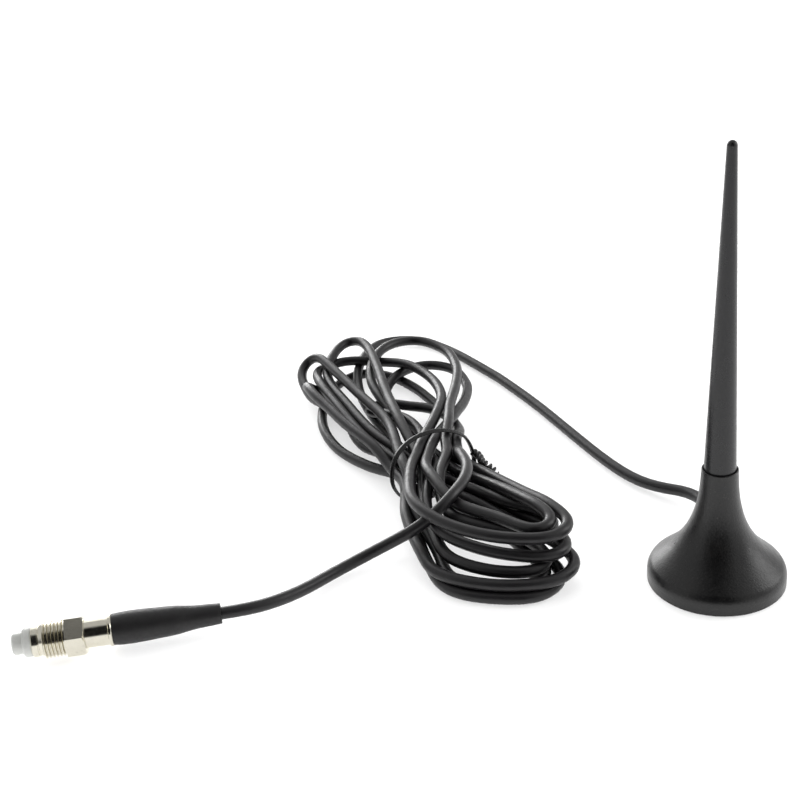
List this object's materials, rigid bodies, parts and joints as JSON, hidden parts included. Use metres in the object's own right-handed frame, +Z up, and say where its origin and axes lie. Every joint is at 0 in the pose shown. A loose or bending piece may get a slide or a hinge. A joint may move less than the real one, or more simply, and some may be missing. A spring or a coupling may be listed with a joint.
{
  "type": "magnetic cellular antenna",
  "caption": "Short whip antenna on a round magnetic foot, with a thin coaxial lead wound into a tied hank and a small threaded jack on its end.",
  "frame": {"origin": "centre of the magnetic foot, on the surface that it stands on", "axes": "+Z up along the mast; the cable leaves the base towards +Y and the jack lies towards -X"},
  "size_m": [0.1679, 0.16, 0.0985],
  "materials": {
    "mast_plastic": "semi-gloss moulded black plastic",
    "base_plastic": "fine-textured black plastic",
    "pad_rubber": "matte film",
    "nickel_plate": "nickel plate",
    "tinned_steel": "tin plate",
    "insulator_plastic": "natural plastic",
    "brass": "turned brass",
    "copper_wire": "bare copper",
    "cable_jacket": "satin black PVC",
    "tinned_braid": "tinned copper braid",
    "cable_dielectric": "natural polyethylene",
    "solder": "bright solder",
    "tie_plastic": "plastic-coated wire",
    "sleeve_plastic": "matte heat-shrink sleeve",
    "jack_nickel": "bright nickel plate",
    "jack_white": "white moulded plastic",
    "contact_gold": "gold plate"
  },
  "bodies": {
    "root": {"mast_cover": "mast_plastic", "base_housing": "base_plastic", "foot_pad": "pad_rubber", "magnet": "nickel_plate", "ground_plate": "tinned_steel", "insulating_washer": "insulator_plastic", "feed_stud": "brass", "neck_insulator": "insulator_plastic", "lower_radiator": "brass", "coil_former": "insulator_plastic", "loading_coil": "copper_wire", "upper_radiator": "brass", "base_cable_end": "cable_jacket", "cable_crimp_band": "brass", "base_braid": "tinned_braid", "base_dielectric": "cable_dielectric", "base_conductor": "copper_wire", "feed_solder": "solder", "braid_solder": "solder", "antenna_lead": "cable_jacket", "cable_hank": "cable_jacket", "jack_lead": "cable_jacket", "twist_tie": "tie_plastic", "shrink_sleeve": "sleeve_plastic", "crimp_ferrule": "nickel_plate", "jack_body": "jack_nickel", "jack_insulator": "jack_white", "centre_contact": "contact_gold", "jack_cable_end": "cable_jacket", "jack_braid": "tinned_braid", "jack_dielectric": "cable_dielectric", "jack_conductor": "copper_wire"}
  },
  "joints": []
}
